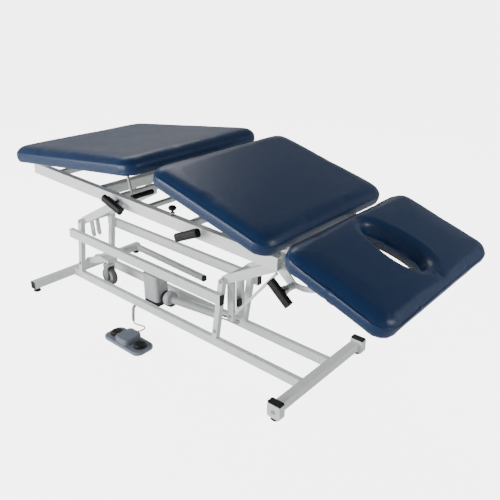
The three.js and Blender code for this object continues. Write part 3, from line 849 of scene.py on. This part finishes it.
def build_bolt_heads():
    """A hexagon head on a washer at every point, turned to face along the point's 'facing'."""
    tree, gin, gout = geometry_tree("bolt_heads", [
        ("Head radius", "NodeSocketFloat", 0.0075), ("Head sides", "NodeSocketInt", 6),
        ("Washer radius", "NodeSocketFloat", 0.0095), ("Seed", "NodeSocketInt", 5),
        ("Finish", "NodeSocketMaterial", None)])
    wide = gin.outputs["Head radius"]
    flat = gin.outputs["Washer radius"]
    washer = cone_of(tree, 28, flat, maths(tree, "MULTIPLY", flat, 0.94), maths(tree, "MULTIPLY", wide, 0.2))
    head = cone_of(tree, 6, wide, maths(tree, "MULTIPLY", wide, 0.88), maths(tree, "MULTIPLY", wide, 0.75))
    tree.links.new(gin.outputs["Head sides"], head.node.inputs["Vertices"])
    both = node(tree, "GeometryNodeJoinGeometry")
    tree.links.new(washer, both.inputs["Geometry"])
    tree.links.new(head, both.inputs["Geometry"])
    facing = node(tree, "GeometryNodeInputNamedAttribute", data_type="FLOAT_VECTOR")
    facing.inputs["Name"].default_value = "facing"
    turn_to = node(tree, "FunctionNodeAlignRotationToVector", axis="Z")
    tree.links.new(facing.outputs["Attribute"], turn_to.inputs["Vector"])
    spin = node(tree, "FunctionNodeRandomValue", data_type="FLOAT")
    spin.inputs["Max"].default_value = 1.0
    tree.links.new(gin.outputs["Seed"], spin.inputs["Seed"])
    about = node(tree, "FunctionNodeAxisAngleToRotation")
    tree.links.new(spin.outputs[1], about.inputs["Angle"])
    turned_by = node(tree, "FunctionNodeRotateRotation", rotation_space="LOCAL")
    tree.links.new(turn_to.outputs["Rotation"], turned_by.inputs["Rotation"])
    tree.links.new(about.outputs["Rotation"], turned_by.inputs["Rotate By"])
    spread = node(tree, "GeometryNodeInstanceOnPoints")
    tree.links.new(gin.outputs["Geometry"], spread.inputs["Points"])
    tree.links.new(both.outputs["Geometry"], spread.inputs["Instance"])
    tree.links.new(turned_by.outputs["Rotation"], spread.inputs["Rotation"])
    finish_tree(tree, gin, gout, spread)
    return tree


def build_staple_row():
    """Wire staples laid across a line at even spacing, each a little out of true."""
    tree, gin, gout = geometry_tree("staple_row", [
        ("Spacing", "NodeSocketFloat", 0.03), ("Crown", "NodeSocketFloat", 0.01),
        ("Wire", "NodeSocketFloat", 0.0005), ("Seed", "NodeSocketInt", 3),
        ("Finish", "NodeSocketMaterial", None)])
    line = node(tree, "GeometryNodeMeshToCurve")
    tree.links.new(gin.outputs["Geometry"], line.inputs["Mesh"])
    even = node(tree, "GeometryNodeResampleCurve", mode="LENGTH")
    tree.links.new(line.outputs["Curve"], even.inputs["Curve"])
    tree.links.new(gin.outputs["Spacing"], even.inputs["Length"])
    wire = node(tree, "GeometryNodeMeshCylinder")
    wire.inputs["Vertices"].default_value = 8
    tree.links.new(gin.outputs["Wire"], wire.inputs["Radius"])
    tree.links.new(gin.outputs["Crown"], wire.inputs["Depth"])
    jitter = node(tree, "FunctionNodeRandomValue", data_type="FLOAT_VECTOR")
    jitter.inputs["Min"].default_value = (-0.12, -0.12, 0.0)
    jitter.inputs["Max"].default_value = (0.12, 0.12, 0.0)
    tree.links.new(gin.outputs["Seed"], jitter.inputs["Seed"])
    along = node(tree, "GeometryNodeInputTangent")
    swayed = node(tree, "ShaderNodeVectorMath", operation="ADD")
    tree.links.new(along.outputs["Tangent"], swayed.inputs[0])
    tree.links.new(jitter.outputs[0], swayed.inputs[1])
    turn_to = node(tree, "FunctionNodeAlignRotationToVector", axis="Z")
    tree.links.new(swayed.outputs["Vector"], turn_to.inputs["Vector"])
    spread = node(tree, "GeometryNodeInstanceOnPoints")
    tree.links.new(even.outputs["Curve"], spread.inputs["Points"])
    tree.links.new(wire.outputs["Mesh"], spread.inputs["Instance"])
    tree.links.new(turn_to.outputs["Rotation"], spread.inputs["Rotation"])
    finish_tree(tree, gin, gout, spread)
    return tree


def grow(name, data, tree, finish, body, slot, **values):
    """Runs a tree over a mesh of points or lines and keeps the result as a plain mesh."""
    seed_object = bpy.data.objects.new(f"{name}_seed", data)
    scene.collection.objects.link(seed_object)
    modifier = seed_object.modifiers.new("grow", "NODES")
    modifier.node_group = tree
    for item in tree.interface.items_tree:
        if item.item_type != "SOCKET" or item.in_out != "INPUT":
            continue
        if item.name == "Finish":
            modifier[item.identifier] = finish
        elif item.name.replace(" ", "_") in values:
            modifier[item.identifier] = values[item.name.replace(" ", "_")]
    made = baked(seed_object)
    seed_object.modifiers.clear()
    bpy.data.objects.remove(seed_object)
    made.name = name
    return link_mesh(name, made, finish, body)


def point_mesh(name, rows):
    """Points with the way each one faces."""
    data = bpy.data.meshes.new(name)
    data.from_pydata([place for place, _ in rows], [], [])
    facing = data.attributes.new("facing", "FLOAT_VECTOR", "POINT")
    for index, (_, way) in enumerate(rows):
        facing.data[index].vector = way
    return data


def line_mesh(name, lines):
    data = bpy.data.meshes.new(name)
    points = []
    edges = []
    for line in lines:
        edges += [(len(points) + k, len(points) + k + 1) for k in range(len(line) - 1)]
        points += line
    data.from_pydata(points, edges, [])
    return data


BOLT_HEADS = build_bolt_heads()
STAPLE_ROW = build_staple_row()

RAKE = 0.157


def both_sides(centre, reach, middle=0):
    """A pair of points either side of a middle plane, facing outwards."""
    x, z = centre
    return [(spot(x, middle + s * reach, z), Vector((0, s, 0))) for s in (-1, 1)]


def down_post(pivot, z):
    """The place on a raked post's centre line at height z."""
    return pivot[0] - (pivot[1] - z) * RAKE, z


BOLTS = {
    "base": (both_sides(FOOT_PIVOT, 107.5) + both_sides(HEAD_PIVOT, 107.5)
             + both_sides(down_post(FOOT_PIVOT, 107), 107.5) + both_sides(down_post(HEAD_PIVOT, 93), 107.5)
             + both_sides((554, 38), 299.8)),
    "head_arms": both_sides(HEAD_ARM_END, 82) + both_sides(LEVER_EYE, 38, -22),
    "foot_arms": both_sides(FOOT_ARM_END, 82),
    "centre_section": both_sides(TILT_AXIS, 176) + both_sides(RIDGE_AXIS, 185.8),
    "head_section": both_sides(HEAD_AXIS, 198),
    "caster_swivel_fork": both_sides(CASTER, 24, CASTER_Y),
}
for body, rows in BOLTS.items():
    grow(f"{body}_bolts", point_mesh(f"{body}_points", rows), BOLT_HEADS, zinc_plate, body, "zinc")

# Each board is screwed up into its pad, and the vinyl is stapled to the pad's underside beside the board.
BOARDS = {"centre": (20, 560, 210), "foot": (30, 852, 200), "head": (16, 366, 231.5)}
for which, (x0, x1, half) in BOARDS.items():
    matrix = section_matrix(which)
    down = (matrix.to_3x3() @ Vector((0, 0, -1))).normalized()
    xs = (x0 + 22, x1 - 22) if which == "head" else (x0 + 22, (x0 + x1) / 2, x1 - 22)
    rows = [(matrix @ Vector((x / 1000, y / 1000, -0.0813)), down)
            for x in xs for y in (-half + 22, half - 22)]
    section = f"{which}_section"
    grow(f"{which}_board_screws", point_mesh(f"{which}_points", rows), BOLT_HEADS, zinc_plate, section,
         "zinc", Head_radius=0.0045, Head_sides=16, Washer_radius=0.0055)
    length = SECTIONS[which][3] * 1000
    lines = [[matrix @ Vector((x / 1000, s * y / 1000, -0.0671)) for x, y in (
        (34, half + 12), (34, 338), (length - 34, 338), (length - 34, half + 12))] for s in (-1, 1)]
    grow(f"{which}_staples", line_mesh(f"{which}_lines", lines), STAPLE_ROW, zinc_plate, section,
         "zinc", Spacing=0.032)

# ---------------------------------------------------------------- floor and light
FLOOR_HALF = 300
WALL_RADIUS = 280
WALL_DEPTH = 240

floor_bm = bmesh.new()
bmesh.ops.create_grid(floor_bm, x_segments=2, y_segments=2, size=FLOOR_HALF)
floor = bpy.data.objects.new("floor", from_bmesh("floor", floor_bm, False))
scene.collection.objects.link(floor)
floor.data.materials.append(floor_paint)
floor_shader = floor_paint.node_tree.nodes["Principled BSDF"]
floor_shader.inputs["Emission Color"].default_value = (1, 1, 1, 1)
seen = node(floor_paint.node_tree, "ShaderNodeLightPath").outputs["Is Camera Ray"]
glow = maths(floor_paint.node_tree, "ADD", maths(floor_paint.node_tree, "MULTIPLY", seen, 4.6), 0.17)
floor_paint.node_tree.links.new(glow, floor_shader.inputs["Emission Strength"])
floor_shader.inputs["Specular IOR Level"].default_value = 0.0

wall_bm = bmesh.new()
bmesh.ops.create_cone(wall_bm, cap_ends=False, segments=96, radius1=WALL_RADIUS, radius2=WALL_RADIUS,
                      depth=WALL_DEPTH)
wall = bpy.data.objects.new("wall", from_bmesh("wall", wall_bm, False))
scene.collection.objects.link(wall)
wall.data.materials.append(floor_paint)

world = bpy.data.worlds.new("studio")
scene.world = world
world.use_nodes = True
world.node_tree.nodes["Background"].inputs["Color"].default_value = (1, 1, 1, 1)
world.node_tree.nodes["Background"].inputs["Strength"].default_value = 0.28


def soft_box(name, place, target, size, power):
    data = bpy.data.lights.new(name, "AREA")
    data.shape = "RECTANGLE"
    data.size, data.size_y = size
    data.energy = power
    lamp = bpy.data.objects.new(name, data)
    scene.collection.objects.link(lamp)
    lamp.location = place
    lamp.rotation_euler = (Vector(target) - Vector(place)).to_track_quat("-Z", "Y").to_euler()


soft_box("key", (-1.6, -3.6, 1.1), (-0.1, 0, 0.55), (4.2, 0.8), 175)
soft_box("top", (-2.4, 1.2, 3.2), (0, 0, 0.7), (2.6, 1.0), 42)
soft_box("head", (3.0, 0.6, 1.6), (0, 0, 0.5), (1.2, 0.8), 25)
